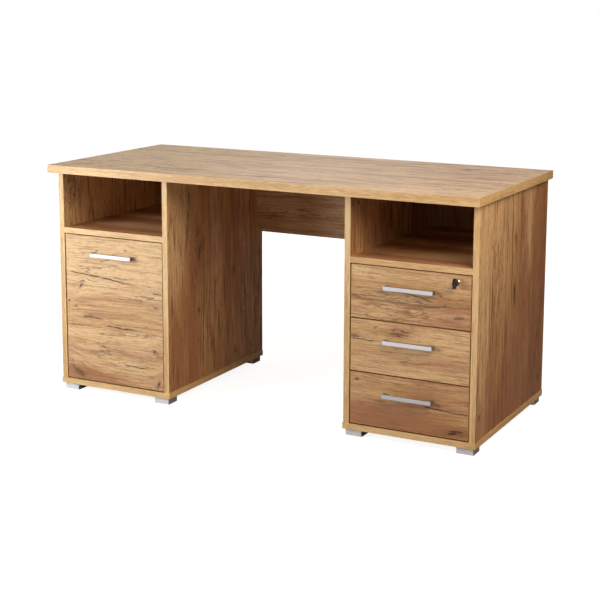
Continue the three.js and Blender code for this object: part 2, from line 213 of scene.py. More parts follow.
class Graph:
    """Adds nodes to a tree; its patterns take and return Values."""

    def __init__(self, tree):
        self.tree = tree

    def node(self, kind, **settings):
        node = self.tree.nodes.new(kind)
        for name, value in settings.items():
            setattr(node, name, value)
        return node

    def put(self, socket, value):
        if isinstance(value, Value):
            self.tree.links.new(value.socket, socket)
        elif isinstance(value, bpy.types.NodeSocket):
            self.tree.links.new(value, socket)
        else:
            socket.default_value = value

    def math(self, operation, *values):
        node = self.node("ShaderNodeMath", operation=operation)
        for socket, value in zip(node.inputs, values):
            self.put(socket, value)
        return Value(self, node.outputs[0])

    def least(self, a, b):
        return self.math("MINIMUM", a, b)

    def most(self, a, b):
        return self.math("MAXIMUM", a, b)

    def vector(self, x, y, z):
        node = self.node("ShaderNodeCombineXYZ")
        for socket, value in zip(node.inputs, (x, y, z)):
            self.put(socket, value)
        return node.outputs[0]

    def noise(self, x, y, z, detail=3.0, roughness=0.5, distortion=0.0):
        node = self.node("ShaderNodeTexNoise", noise_dimensions="3D")
        self.put(node.inputs["Vector"], self.vector(x, y, z))
        node.inputs["Scale"].default_value = 1.0
        node.inputs["Detail"].default_value = detail
        node.inputs["Roughness"].default_value = roughness
        node.inputs["Distortion"].default_value = distortion
        return Value(self, node.outputs["Fac"])

    def even(self, point, cells, detail=2.0, roughness=0.5):
        """Noise with as many cells to a metre along each axis."""
        return self.noise(*[p * cells for p in point], detail=detail, roughness=roughness)

    def chance(self, x, y):
        """A steady random number from 0 to 1 for each pair of whole numbers."""
        node = self.node("ShaderNodeTexWhiteNoise", noise_dimensions="2D")
        self.put(node.inputs["Vector"], self.vector(x, y, 0.0))
        return Value(self, node.outputs["Value"])

    def step(self, value, low, high):
        """0 below low, 1 above high, smooth between; low may be the larger."""
        node = self.node("ShaderNodeMapRange", interpolation_type="SMOOTHSTEP")
        flip = low > high
        low, high = min(low, high), max(low, high)
        for socket, item in zip(node.inputs, (value, low, high, float(flip), float(not flip))):
            self.put(socket, item)
        return Value(self, node.outputs[0])

    def blend(self, amount, a, b):
        """The colour a where amount is 0 and b where it is 1."""
        node = self.node("ShaderNodeMix", data_type="RGBA")
        self.put(node.inputs[0], amount)
        for socket, item in ((node.inputs[6], a), (node.inputs[7], b)):
            self.put(socket, (*item, 1.0) if isinstance(item, tuple) else item)
        return node.outputs[2]

    def place(self):
        """The point's place in its object's own frame, as three Values, and its normal."""
        node = self.node("ShaderNodeTexCoord")
        sides = []
        for output in ("Object", "Normal"):
            split = self.node("ShaderNodeSeparateXYZ")
            self.put(split.inputs[0], node.outputs[output])
            sides.append([Value(self, socket) for socket in split.outputs])
        return sides

    def surface(self, shader, colour, roughness, height, distance):
        """Sets a shader's colour and roughness, and bumps it by height times a distance."""
        self.put(shader.inputs["Base Color"], colour)
        self.put(shader.inputs["Roughness"], roughness)
        node = self.node("ShaderNodeBump")
        node.inputs["Distance"].default_value = distance
        self.put(node.inputs["Height"], height)
        self.put(shader.inputs["Normal"], node.outputs[0])


def new_material(name):
    material = bpy.data.materials.new(name)
    material.use_nodes = True
    return material, Graph(material.node_tree), material.node_tree.nodes["Principled BSDF"]


def paint(red, green, blue):
    """A display colour, 0 to 255, as the linear colour that shaders use. Good for channels above 10."""
    return tuple(((c / 255 + 0.055) / 1.055) ** 2.4 for c in (red, green, blue))


# ---------------------------------------- oak decor

HONEY = paint(232, 196, 146)
ROSE = paint(222, 178, 140)
AMBER = paint(198, 152, 100)
RUSSET = paint(182, 130, 90)
CEDAR = paint(166, 114, 82)
COFFEE = paint(144, 98, 62)
UMBER = paint(112, 72, 46)
MAHOGANY = paint(112, 62, 40)
BARK = paint(58, 34, 23)
EDGE_LIGHT = paint(236, 202, 148)
EDGE_DARK = paint(202, 160, 104)
CHIP_LIGHT = paint(205, 178, 138)
CHIP_DARK = paint(150, 118, 80)
HARDBOARD_LIGHT = paint(206, 166, 120)
HARDBOARD_DARK = paint(168, 127, 84)
DUSK = paint(190, 158, 138)

# The print's small knots: cells to a metre along and across the grain, least size, and how much size varies.
KNOT_CELLS = (3.4, 8.5)
KNOT_LEAST, KNOT_RANGE = 0.002, 0.006
EDGE_BAND = 1.2 * MM
BORE_DEPTH = 1.0 * MM
# How strong the broad dark strokes are on boards whose grain is level, and on those whose grain is upright.
STROKES = {"x": 0.15, "z": 0.70}
# How squarely a face must look along an axis: between these, it passes from not facing it to facing it.
FACING = (0.5, 0.8)


def decor_group():
    """The printed foil, shared by all boards: planks of their own tone, flowing grain, streaks, knots, pores.
    along and across are metres on the board. knots is the share of cells with a knot, and marks is how dark
    the board's own knots and cracks are. tone lifts the colour, and figure makes the grain curlier."""
    tree = bpy.data.node_groups.new("oak_decor", "ShaderNodeTree")
    names = ("along", "across", "seed", "plank", "knots", "marks", "tone", "figure", "strokes")
    for name in names:
        tree.interface.new_socket(name, in_out="INPUT", socket_type="NodeSocketFloat")
    tree.interface.new_socket("colour", in_out="OUTPUT", socket_type="NodeSocketColor")
    tree.interface.new_socket("height", in_out="OUTPUT", socket_type="NodeSocketFloat")
    graph = Graph(tree)
    noise, step, blend = graph.noise, graph.step, graph.blend
    start = graph.node("NodeGroupInput")
    values = [Value(graph, start.outputs[name]) for name in names]
    u, v, seed, plank, knots, marks, shade, figure, strokes = values

    # Each plank of the print has its own tone and its own stretch of grain.
    sway = noise(u * 1.3, v * 3.0, seed * 3.1, detail=2.0) - 0.5
    lane = (v + sway * 0.010) / plank + seed * 7.3
    number = graph.math("FLOOR", lane)
    inside = lane - number
    tone = graph.chance(number, seed) - 0.5
    along = u + graph.chance(number + 31.0, seed) * 9.0

    # Small knots of the print's own, one to a cell, each with its own size; the grain flows round them.
    cells = graph.node("ShaderNodeTexVoronoi", voronoi_dimensions="2D")
    cells.inputs["Scale"].default_value = 1.0
    graph.put(cells.inputs["Vector"], graph.vector(along * KNOT_CELLS[0], v * KNOT_CELLS[1], 0.0))
    centre = graph.node("ShaderNodeSeparateXYZ")
    graph.put(centre.inputs[0], cells.outputs["Position"])
    luck = graph.node("ShaderNodeSeparateColor")
    graph.put(luck.inputs[0], cells.outputs["Color"])
    du = along - Value(graph, centre.outputs[0]) / KNOT_CELLS[0]
    dv = v - Value(graph, centre.outputs[1]) / KNOT_CELLS[1]
    size = Value(graph, luck.outputs[0]) * KNOT_RANGE + KNOT_LEAST
    present = graph.math("LESS_THAN", Value(graph, luck.outputs[1]), knots)
    ragged = (noise(along * 150.0, v * 150.0, seed, detail=3.0) - 0.5) * 2.2
    reach = (du / (size * 1.7)) ** 2.0 + (dv / size) ** 2.0
    pull = graph.math("EXPONENT", reach * -0.045) * present
    grain = v + sway * 0.035 - dv * pull * 0.8

    # Curly stretches, where the grain waves in short arcs.
    curly = noise(along * 2.2, grain * 9.0, seed + 8.0, detail=2.0) + figure * 0.09
    curly = step(curly, 0.54, 0.74)
    wave = noise(along * 13.0, grain * 40.0, seed + 3.0, detail=3.0) - 0.5
    ripple = noise(along * 42.0, grain * 90.0, seed + 3.6, detail=2.0) - 0.5
    grain = grain + wave * (curly * 0.024 + 0.004) + ripple * (curly * 0.004 + 0.0016)

    # Layers of grain, from broad bands to fine flecks and pores.
    bands = noise(along * 1.2, grain * 13.0, seed + 1.5, detail=3.0, roughness=0.55)
    ribbons = noise(along * 3.6, grain * 62.0, seed + 2.5, detail=3.0, roughness=0.6)
    streaks = noise(along * 9.0, grain * 185.0, seed + 5.0, detail=4.0, roughness=0.66)
    flecks = noise(along * 34.0, grain * 400.0, seed + 6.0, detail=2.0, roughness=0.6)
    dashes = noise(along * 7.0, grain * 96.0, seed + 9.0, detail=3.0, roughness=0.6)
    pores = step(noise(along * 60.0, grain * 1100.0, seed + 1.0, detail=1.0), 0.58, 0.68)
    hue = noise(along * 1.9, grain * 9.0, seed + 12.0, detail=3.0, roughness=0.55)
    smoke = noise(along * 3.0, grain * 20.0, seed + 21.0, detail=4.0, roughness=0.62)
    smoke = step(smoke - shade * 0.06, 0.54, 0.70)

    # Thin dark drying lines along the grain, in loose groups, and short curls where the grain is curly.
    ridge = abs(noise(along * 3.6, grain * 34.0, seed + 4.0, detail=3.0, roughness=0.5) - 0.5)
    groups = step(noise(along * 2.4, grain * 12.0, seed + 15.0, detail=2.0), 0.53, 0.66)
    lines = step(ridge, 0.017, 0.002) * groups
    swirl = noise(along * 9.0, grain * 58.0, seed + 33.0, detail=3.0, roughness=0.5, distortion=0.2)
    lines = graph.most(lines, step(abs(swirl - 0.5), 0.045, 0.006) * curly * 0.85)

    # The ground colour, then each darker layer over it.
    rosy = step(hue + tone * 0.10 - shade * 0.12, 0.44, 0.62)
    light = bands * 0.36 + ribbons * 0.40 + streaks * 0.36 + tone * 0.12 + shade * 0.16
    light = step(light, 0.42, 0.72)
    colour = blend(light, blend(rosy, AMBER, RUSSET), blend(rosy, HONEY, ROSE))
    colour = blend(step(streaks, 0.50, 0.32) * 0.55, colour, COFFEE)
    colour = blend(smoke * 0.50, colour, CEDAR)
    colour = blend(step(flecks, 0.53, 0.71) * 0.55, colour, COFFEE)
    colour = blend(step(dashes, 0.53, 0.68) * strokes, colour, MAHOGANY)
    colour = blend(lines * 0.70, colour, UMBER)
    colour = blend(pores * 0.45, colour, COFFEE)
    halo = graph.math("EXPONENT", reach * -0.12) * present
    colour = blend(halo * step(streaks, 0.2, 0.8) * 0.9, colour, UMBER)
    seam = step(abs(inside - 0.5), 0.488, 0.498) * (0.10 + graph.chance(number + 3.0, seed) * 0.50)
    colour = blend(seam, colour, UMBER)
    core = step(reach + ragged, 1.3, 0.1) * present
    dark = graph.most(core * 0.9, graph.least(marks, 1.0))
    colour = blend(dark, colour, BARK)

    height = streaks * 0.3 - flecks * 0.3 - pores * 0.5 - lines * 0.5 - dark - seam * 0.7
    end = graph.node("NodeGroupOutput")
    graph.put(end.inputs["colour"], colour)
    graph.put(end.inputs["height"], height)
    return tree


DECOR = decor_group()


def knot_pull(graph, u, v, knots):
    """Bends the grain round the knots; returns the bent cross-grain place and the knots' darkness."""
    dark = 0.0
    bent = v
    ragged = (graph.noise(u * 130.0, v * 130.0, 0.5, detail=3.0) - 0.5) * 2.4
    for at_u, at_v, size, stretch, tilt, strength in knots:
        du = (u - at_u) / (size * stretch)
        dv = (v - at_v - (u - at_u) * tilt) / size
        reach = du * du + dv * dv
        pull = graph.math("EXPONENT", reach * -0.06)
        bent = bent - (v - at_v) * pull * 0.75
        core = graph.step(reach + ragged, 1.2, 0.1) * strength
        halo = graph.math("EXPONENT", reach * -0.35) * (0.38 * strength)
        dark = graph.most(dark, graph.most(core, halo))
    return bent, dark


def crack_marks(graph, u, v, cracks):
    """Dark drying cracks: each starts at a place, runs along the grain and bends by a slope and a curve."""
    dark = 0.0
    waver = graph.noise(u * 24.0, v * 8.0, 0.0, detail=3.0) - 0.5
    thick = graph.noise(u * 55.0, v * 20.0, 3.0, detail=2.0) * 1.3 + 0.15
    for at_u, at_v, length, slope, curve, width in cracks:
        run = u - at_u
        gap = abs(v - (run * slope + run * run * curve + waver * 0.008 + at_v))
        fade = graph.step(run, -0.002, 0.1 * length) * graph.step(run, length, length * 0.7)
        line = graph.step(gap / (thick * width), 1.1, 0.3) * 0.95
        shade = graph.step(gap, 0.006, 0.0) * 0.16
        dark = graph.most(dark, graph.most(line, shade) * fade)
    return dark


def patches_at(graph, u, v, patches):
    """Soft patches that make the decor lighter or darker, and curlier, round chosen places."""
    tone, figure = 0.0, 0.0
    for at_u, at_v, reach_u, reach_v, lift, curl in patches:
        du = (u - at_u) / reach_u
        dv = (v - at_v) / reach_v
        near = graph.math("EXPONENT", (du * du + dv * dv) * -1.0)
        tone = near * lift + tone
        figure = near * curl + figure
    return tone, figure


def oak(
    node,
    grain,
    seed,
    knots=(),
    cracks=(),
    patches=(),
    plank=0.105,
    tone=0.0,
    knotty=0.2,
    rim=(1, 1, 1),
    spread=1.0,
    strokes=None,
):
    """An oak-faced board. grain names the axes along the grain, across it and through the board. Knots,
    cracks and patches are placed by fractions of the board's face; sizes are in metres. rim is how bright the
    channels of its edge band are beside the other boards'. spread widens the print across the grain, and
    strokes is the strength of its broad dark strokes."""
    low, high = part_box(node)
    order = ["xyz".index(letter) for letter in grain]
    low, high = [low[i] for i in order], [high[i] for i in order]
    material, graph, shader = new_material(f"oak_{node}")
    point, normal = graph.place()
    u, v, w = [point[i] for i in order]
    facing = abs(normal[order[2]])

    length, width = high[0] - low[0], high[1] - low[1]

    def placed(things):
        """Knots, cracks or patches, their places turned from fractions of the face into metres."""
        return [(low[0] + a * length, low[1] + b * width, *rest) for a, b, *rest in things]

    bent, marks = v, 0.0
    if knots:
        bent, marks = knot_pull(graph, u, v, placed(knots))
    if cracks:
        marks = graph.most(marks, crack_marks(graph, u, v, placed(cracks)))
    lift, figure = patches_at(graph, u, v, placed(patches))

    decor = graph.node("ShaderNodeGroup", node_tree=DECOR)
    strokes = STROKES[grain[0]] if strokes is None else strokes
    inputs = dict(along=u, across=bent / spread, seed=seed, plank=plank, knots=knotty, marks=marks)
    inputs.update(tone=lift + tone, figure=figure, strokes=strokes)
    for name, value in inputs.items():
        graph.put(decor.inputs[name], value)
    face_colour = decor.outputs["colour"]
    face_height = Value(graph, decor.outputs["height"])

    # The edge band: plainer and yellower, its grain along the edge. Inside a bore the bare chipboard shows.
    streak = graph.noise(u * 30.0, v * 30.0, w * 520.0 + seed, detail=4.0, roughness=0.66)
    tint = graph.noise(u * 2.5, v * 2.5, w * 40.0 + seed, detail=2.0)
    band_light = tuple(c * part for c, part in zip(EDGE_LIGHT, rim))
    band_dark = tuple(c * part for c, part in zip(EDGE_DARK, rim))
    edge_colour = graph.blend(graph.step(streak * 0.7 + tint * 0.5, 0.46, 0.70), band_dark, band_light)
    chips = graph.even((u, v, w), 700.0)
    chip_colour = graph.blend(graph.step(chips, 0.35, 0.65), CHIP_DARK, CHIP_LIGHT)

    border = graph.least(
        graph.least(abs(u - low[0]), abs(u - high[0])),
        graph.least(abs(v - low[1]), abs(v - high[1])),
    )
    deep = graph.least(abs(w - low[2]), abs(w - high[2]))
    is_face = graph.step(facing, 0.6, 0.8)
    is_band = graph.most(1.0 - is_face, graph.step(border, EDGE_BAND, EDGE_BAND * 0.8))
    is_bore = graph.step(border, 2.5 * EDGE_BAND, 3.0 * EDGE_BAND) * graph.most(
        1.0 - is_face, graph.step(deep, 0.8 * BORE_DEPTH, BORE_DEPTH)
    )
    colour = graph.blend(is_band, face_colour, edge_colour)
    colour = graph.blend(is_bore, colour, chip_colour)
    height = face_height * (1.0 - is_band) + streak * is_band * 0.5
    graph.surface(shader, colour, 0.46 - face_height * 0.08, height, 0.25 * MM)
    shader.inputs["Specular IOR Level"].default_value = 0.45
    return material


# ---------------------------------------- other materials


def repaint(material):
    """To paint over a finished material: its graph, its colour input and the colour that it has now."""
    colour_input = material.node_tree.nodes["Principled BSDF"].inputs["Base Color"]
    return Graph(material.node_tree), colour_input, colour_input.links[0].from_socket


def back_board(node, seed):
    """Thin hardboard: a dusky print of the decor on its front face, plain brown board behind."""
    material = oak(node, "zxy", seed, knotty=0.3)
    graph, colour_input, decor = repaint(material)
    (x, y, z), normal = graph.place()
    fibres = graph.even((x, y, z), 260.0, detail=5.0, roughness=0.75)
    clouds = graph.noise(x * 7.0, y * 7.0, z * 7.0 + seed, detail=5.0, roughness=0.65)
    mottle = graph.step(fibres * 0.85 + clouds * 0.25, 0.36, 0.76)
    board = graph.blend(mottle, HARDBOARD_DARK, HARDBOARD_LIGHT)
    front = graph.blend(0.5, decor, DUSK)
    graph.put(colour_input, graph.blend(graph.step(normal[1], -0.5, -0.6), board, front))
    return material


# The painted shade strip of a base panel, under the fronts: where it fades in and out behind the front edge,
# and its strength.
SHADE_STRIP_IN = (3.5 * MM, 4.5 * MM)
SHADE_STRIP_OUT = (26.0 * MM, 20.0 * MM)
STRIP_SHADE = 0.7


def base_board(node, seed):
    """A base panel with painted shade in a strip under the fronts, so that the gap above it reads as a dark
    line.
    """
    material = oak(node, "xyz", seed)
    graph, colour_input, decor = repaint(material)
    (_, y, _), normal = graph.place()
    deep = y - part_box(node)[0].y
    strip = graph.step(deep, *SHADE_STRIP_IN) * graph.step(deep, *SHADE_STRIP_OUT)
    # Painted shade: the strip's upward faces are blended towards bark brown.
    darker_tone = strip * graph.step(normal[2], *FACING) * STRIP_SHADE
    graph.put(colour_input, graph.blend(darker_tone, decor, BARK))
    return material


# How finely a finish varies, in noise cells to a metre.
BRUSHED_ALONG, BRUSHED_ACROSS, CAST_GRAIN, MOULDED_GRAIN = 14.0, 1800.0, 900.0, 900.0
FOIL_LIGHT = (0.72, 0.70, 0.66)
FOIL_DARK = tuple(c * 0.80 for c in FOIL_LIGHT)
KEY_BLADE = 20.0 * MM
ARRIS_ANGLE = math.radians(40)


def metal(name, colour, roughness, brushed="", streaks=0.12, metallic=1.0, side_shade=1.0):
    """A metal or metallic finish with fine brushing along an axis, and slight patches in its gloss. The faces
    that don't face the front or the rear carry painted shade: the last argument is how much of their
    brightness is left."""
    material, graph, shader = new_material(name)
    point, normal = graph.place()
    scales = [CAST_GRAIN] * 3
    if brushed:
        scales = [BRUSHED_ALONG if letter in brushed else BRUSHED_ACROSS for letter in "xyz"]
    grain = graph.noise(*[p * s for p, s in zip(point, scales)], detail=3.0)
    cloud = graph.even(point, 38.0)
    darker_tone = tuple(c * (1 - streaks) for c in colour)
    finish = graph.blend(grain, darker_tone, colour)
    # Painted shade: the faces that don't face the front or the rear are darkened to part of their brightness.
    if side_shade < 1.0:
        painted_shade_colour = tuple(c * side_shade for c in colour)
        finish = graph.blend(graph.step(abs(normal[1]), *FACING), painted_shade_colour, finish)
    gloss = grain * 0.06 + cloud * 0.06 + (roughness - 0.06)
    graph.surface(shader, finish, gloss, grain, 0.01 * MM)
    shader.inputs["Metallic"].default_value = metallic
    return material


def moulded(name, colour, roughness):
    """Moulded plastic: a fine eroded grain, and slight variation in colour and gloss."""
    material, graph, shader = new_material(name)
    point, _ = graph.place()
    grain = graph.even(point, MOULDED_GRAIN)
    cloud = graph.even(point, 24.0)
    pale = tuple(c * 1.25 + 0.004 for c in colour)
    gloss = grain * 0.12 + (roughness - 0.06)
    graph.surface(shader, graph.blend(cloud, colour, pale), gloss, grain, 0.05 * MM)
    return material


def key_material():
    """The key's black moulded head, and its steel blade behind it."""
    material, graph, shader = new_material("key_head_and_blade")
    point, _ = graph.place()
    blade_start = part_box("lock_key")[1].y - KEY_BLADE
    is_blade = graph.step(point[1], blade_start, blade_start + 0.2 * MM)
    grain = graph.even(point, MOULDED_GRAIN)
    steel = graph.blend(grain, (0.55, 0.55, 0.56), (0.64, 0.64, 0.65))
    plastic = graph.blend(grain, (0.005, 0.005, 0.006), (0.012, 0.012, 0.013))
    colour = graph.blend(is_blade, plastic, steel)
    graph.surface(shader, colour, grain * 0.1 + 0.28, grain, 0.02 * MM)
    graph.put(shader.inputs["Metallic"], is_blade)
    return material


def foil(name, seed):
    """The drawer boxes' pale foil, with a faint linen print."""
    material, graph, shader = new_material(name)
    (x, y, z), _ = graph.place()
    weave_a = graph.noise(x * 90.0, y * 30.0, z * 1500.0 + seed, detail=2.0)
    weave_b = graph.noise(x * 90.0, y * 1500.0, z * 30.0 + seed, detail=2.0)
    cloud = graph.even((x, y, z), 9.0)
    linen = (weave_a + weave_b) * 0.5
    colour = graph.blend(linen * 0.7 + cloud * 0.3, FOIL_DARK, FOIL_LIGHT)
    graph.surface(shader, colour, linen * 0.2 + 0.42, linen, 0.06 * MM)
    return material


def dress(name, material, bevel=0.0, segments=2):
    """Gives a CAD node its material and, where its arrises are broken, a small bevel."""
    node = NODES[name]
    node.data.materials.clear()
    node.data.materials.append(material)
    if bevel:
        modifier = node.modifiers.new("arris", "BEVEL")
        modifier.width = bevel
        modifier.segments = segments
        modifier.limit_method = "ANGLE"
        modifier.angle_limit = ARRIS_ANGLE


make_camera()
make_studio()

# ---------------------------------------- boards

# How far the boards' arrises are broken: most boards, the door and drawer fronts, the fixed shelves, and the
# top, whose arris is round enough to catch the light.
ARRIS = 0.9 * MM
FRONT_ARRIS = 0.5 * MM
SHELF_ARRIS = 0.7 * MM
TOP_ARRIS = 2.0 * MM
# The fronts' edge bands carry painted shade: they are darker than the other boards', so that the gaps round
# them read as dark lines.
FRONT_RIM_SHADE = (0.58, 0.45, 0.29)

# A knot is (along, across, size, stretch, tilt, strength), and a crack is (along, across, length, slope,
# curve, width); along and across are fractions of the board's face.
DOOR_KNOTS = [
    (0.155, 0.655, 0.006, 1.0, 1.2, 0.9),
    (0.625, 0.925, 0.004, 1.2, 0.0, 0.7),
    (0.69, 0.870, 0.005, 1.7, 0.2, 0.7),
    (0.025, 0.540, 0.004, 1.0, 0.0, 0.9),
    (0.10, 0.505, 0.003, 1.6, 0.0, 0.7),
    (0.93, 0.560, 0.004, 1.6, 0.0, 0.7),
    (0.910, 0.262, 0.006, 0.9, 0.0, 0.8),
    (0.95, 0.040, 0.008, 0.9, 1.5, 0.9),
    (0.12, 0.045, 0.013, 2.2, -0.5, 0.55),
]
DOOR_CRACKS = [
    (0.0, 0.742, 0.300, -0.035, -0.22, 0.0030),
    (0.90, 0.655, 0.040, -0.03, 0.0, 0.0020),
    (0.165, 0.445, 0.090, -0.05, 0.0, 0.0026),
    (0.41, 0.395, 0.140, -0.03, 0.0, 0.0032),
    (0.60, 0.140, 0.100, -0.02, 0.0, 0.0026),
]
# A patch is (along, across, reach along, reach across, lift, curl).
DOOR_PATCHES = [
    (0.45, 0.90, 0.30, 0.070, 0.9, 0.0),
    (0.30, 0.66, 0.25, 0.040, 0.6, 0.0),
    (0.40, 0.48, 0.22, 0.050, -0.5, 0.0),
    (0.60, 0.33, 0.25, 0.030, 0.6, 0.0),
    (0.40, 0.17, 0.25, 0.035, 0.3, 1.5),
    (0.15, 0.03, 0.12, 0.030, -1.2, 0.6),
    (0.90, 0.60, 0.10, 0.040, 0.5, 0.8),
    (0.50, 0.66, 0.50, 0.110, 0.0, -1.4),
]
TOP_PATCHES = [
    (0.50, 0.35, 0.45, 0.040, 0.9, 0.0),
    (0.30, 0.75, 0.30, 0.030, -1.0, 0.0),
    (0.85, 0.30, 0.20, 0.020, -1.4, 0.0),
    (0.20, 0.20, 0.30, 0.020, -0.9, 0.0),
    (0.70, 0.62, 0.30, 0.020, -1.2, 0.0),
    (0.85, 0.85, 0.30, 0.050, 0.6, 0.0),
    (0.30, 0.48, 0.35, 0.012, -1.8, 0.0),
    (0.62, 0.14, 0.25, 0.012, -1.6, 0.0),
    (0.55, 0.90, 0.25, 0.020, -1.2, 0.0),
    (0.12, 0.60, 0.20, 0.030, 1.0, 0.0),
    (0.45, 0.22, 0.20, 0.030, 0.8, 0.0),
    (0.92, 0.55, 0.10, 0.020, -2.0, 0.0),
    (0.80, 0.44, 0.22, 0.012, -2.0, 0.0),
    (0.74, 0.24, 0.16, 0.010, -2.0, 0.0),
    (0.66, 0.80, 0.20, 0.012, -1.6, 0.0),
    # Painted light: a broad lift over the left end of the top.
    (0.12, 0.45, 0.25, 0.300, 1.3, 0.0),
]
RIGHT_SIDE_PATCHES = [
    (0.75, 0.07, 0.40, 0.060, 1.5, 0.0),
    (0.60, 0.30, 0.30, 0.060, 0.4, 1.8),
    (0.55, 0.60, 0.30, 0.040, -1.2, 0.0),
    (0.25, 0.90, 0.45, 0.090, -2.6, 0.3),
    (0.80, 0.76, 0.20, 0.030, 0.8, 0.0),
    (0.05, 0.60, 0.15, 0.300, -0.8, 0.4),
    (0.60, 0.20, 0.50, 0.030, -0.5, 1.2),
    (0.50, 0.80, 0.50, 0.040, -0.3, 1.2),
    (0.10, 0.50, 0.30, 0.600, -0.8, 0.3),
    (0.88, 0.30, 0.20, 0.250, 0.7, 0.0),
]
SHELF_PATCHES = [
    (0.4, 0.10, 0.25, 0.02, -2.0, 0.5),
    (0.6, 0.22, 0.30, 0.03, 0.8, 0.0),
    (0.5, 0.38, 0.30, 0.03, -2.2, 0.5),
    (0.4, 0.52, 0.20, 0.03, 0.5, 0.0),
    (0.7, 0.66, 0.30, 0.04, -2.0, 0.0),
]
FRONT = dict(grain="xzy", plank=0.40, knotty=0.0, rim=FRONT_RIM_SHADE, strokes=0.05)
SIDE = dict(grain="zyx", plank=0.13, knotty=0.1)
BOARDS = {
    "desk_top": dict(
        grain="xyz",
        seed=1.3,
        patches=TOP_PATCHES,
        plank=0.10,
        tone=0.75,
        knotty=0.1,
        spread=1.6,
        strokes=0.75,
    ),
    "modesty_panel": dict(grain="xzy", seed=2.7, plank=0.12, tone=0.3, knotty=0.1),
    "cupboard_shelf": dict(grain="xyz", seed=3.9, plank=0.12),
    "door": dict(FRONT, seed=4.4, knots=DOOR_KNOTS, cracks=DOOR_CRACKS, patches=DOOR_PATCHES, tone=0.25),
    "top_drawer_front": dict(
        FRONT,
        seed=5.2,
        knots=[(0.90, 0.20, 0.006, 3.0, 0.1, 0.6)],
        cracks=[(0.38, 0.56, 0.13, -0.02, -1.2, 0.0016), (0.60, 0.34, 0.10, 0.05, 0.8, 0.0018)],
        patches=[
            (0.10, 0.90, 0.05, 0.020, 0.9, 0.8),
            (0.50, 0.33, 0.12, 0.035, 0.3, 3.2),
            (0.90, 0.45, 0.10, 0.020, -0.8, 0.5),
        ],
        tone=0.12,
    ),
    "middle_drawer_front": dict(
        FRONT,
        seed=6.1,
        knots=[
            (0.03, 0.66, 0.0050, 5.0, 0.0, 0.7),
            (0.37, 0.85, 0.0030, 1.4, 0.5, 0.9),
            (0.21, 0.86, 0.0025, 1.4, 0.8, 0.8),
            (0.41, 0.76, 0.0030, 2.0, 0.0, 0.8),
            (0.45, 0.86, 0.0025, 1.6, -0.4, 0.9),
            (0.48, 0.78, 0.0020, 2.4, 0.0, 0.8),
        ],
        cracks=[
            (0.00, 0.62, 0.09, -0.02, 0.0, 0.0022),
            (0.34, 0.80, 0.07, -0.02, 0.0, 0.0014),
            (0.42, 0.86, 0.04, -0.05, 0.0, 0.0014),
        ],
        patches=[
            (0.42, 0.80, 0.05, 0.022, -0.4, 3.4),
            (0.55, 0.28, 0.05, 0.020, 0.2, 3.2),
            (0.80, 0.70, 0.12, 0.030, 0.7, 0.0),
        ],
        tone=0.25,
    ),
    "bottom_drawer_front": dict(
        FRONT,
        seed=7.6,
        knots=[(0.06, 0.86, 0.005, 1.6, 0.0, 0.6), (0.88, 0.10, 0.005, 4.0, 0.1, 0.9)],
        cracks=[(0.62, 0.52, 0.16, -0.06, 0.0, 0.0024), (0.84, 0.14, 0.05, 0.03, 0.0, 0.0030)],
        patches=[
            (0.62, 0.75, 0.08, 0.020, -0.9, 1.0),
            (0.50, 0.20, 0.30, 0.030, -0.9, 0.0),
            (0.88, 0.12, 0.06, 0.015, -1.2, 0.5),
        ],
        tone=-0.1,
    ),
    # The left outer side's patch: its broad lift towards the top front is painted light, and its curl is part
    # of the print.
    "left_outer_side": dict(SIDE, seed=8.3, patches=[(0.9, 0.2, 0.3, 0.3, 2.1, 0.6)], tone=0.3),
    "left_inner_side": dict(
        SIDE,
        seed=9.9,
        knots=[
            (0.34, 0.30, 0.007, 1.3, 0.0, 0.9),
            (0.62, 0.31, 0.010, 3.0, 0.0, 0.7),
            (0.90, 0.21, 0.006, 4.0, 0.0, 0.8),
        ],
        cracks=[(0.05, 0.34, 0.30, 0.03, 0.0, 0.0030), (0.10, 0.80, 0.30, -0.02, 0.0, 0.0030)],
        patches=[
            (0.60, 0.30, 0.09, 0.05, -0.8, 2.0),
            (0.30, 0.10, 0.30, 0.05, 0.5, 0.0),
            (0.50, 0.60, 0.40, 0.05, -0.7, 0.3),
            # Painted light: a lift along the front edge near the top.
            (0.88, 0.08, 0.25, 0.07, 2.6, 0.0),
            (0.25, 0.15, 0.25, 0.08, -1.3, 0.0),
        ],
        tone=-0.1,
    ),
    "right_inner_side": dict(SIDE, seed=11.2, tone=0.1),
    "right_outer_side": dict(
        grain="zyx",
        seed=12.4,
        knots=[
            (0.80, 0.51, 0.007, 1.6, 0.0, 0.8),
            (0.55, 0.51, 0.009, 4.5, 0.0, 0.9),
            (0.10, 0.05, 0.006, 1.2, 0.0, 0.9),
        ],
        cracks=[(0.30, 0.18, 0.34, 0.02, 0.0, 0.0034), (0.50, 0.47, 0.40, -0.02, 0.0, 0.0034)],
        patches=RIGHT_SIDE_PATCHES,
        plank=0.115,
        knotty=0.0,
    ),
}
for name, looks in BOARDS.items():
    if name == "desk_top":
        dress(name, oak(name, **looks), TOP_ARRIS, 3)
    elif name.endswith(("door", "front")):
        dress(name, oak(name, **looks), FRONT_ARRIS)
    else:
        dress(name, oak(name, **looks), ARRIS)
for side, seed in (("left", 14.5), ("right", 16.8)):
    base, shelf, back = f"{side}_base_panel", f"{side}_fixed_shelf", f"{side}_back_panel"
    dress(base, base_board(base, seed), ARRIS)
    dress(shelf, oak(shelf, "xyz", seed + 0.7, patches=SHELF_PATCHES), SHELF_ARRIS)
    dress(back, back_board(back, seed + 1.3))

# ---------------------------------------- metal and plastic

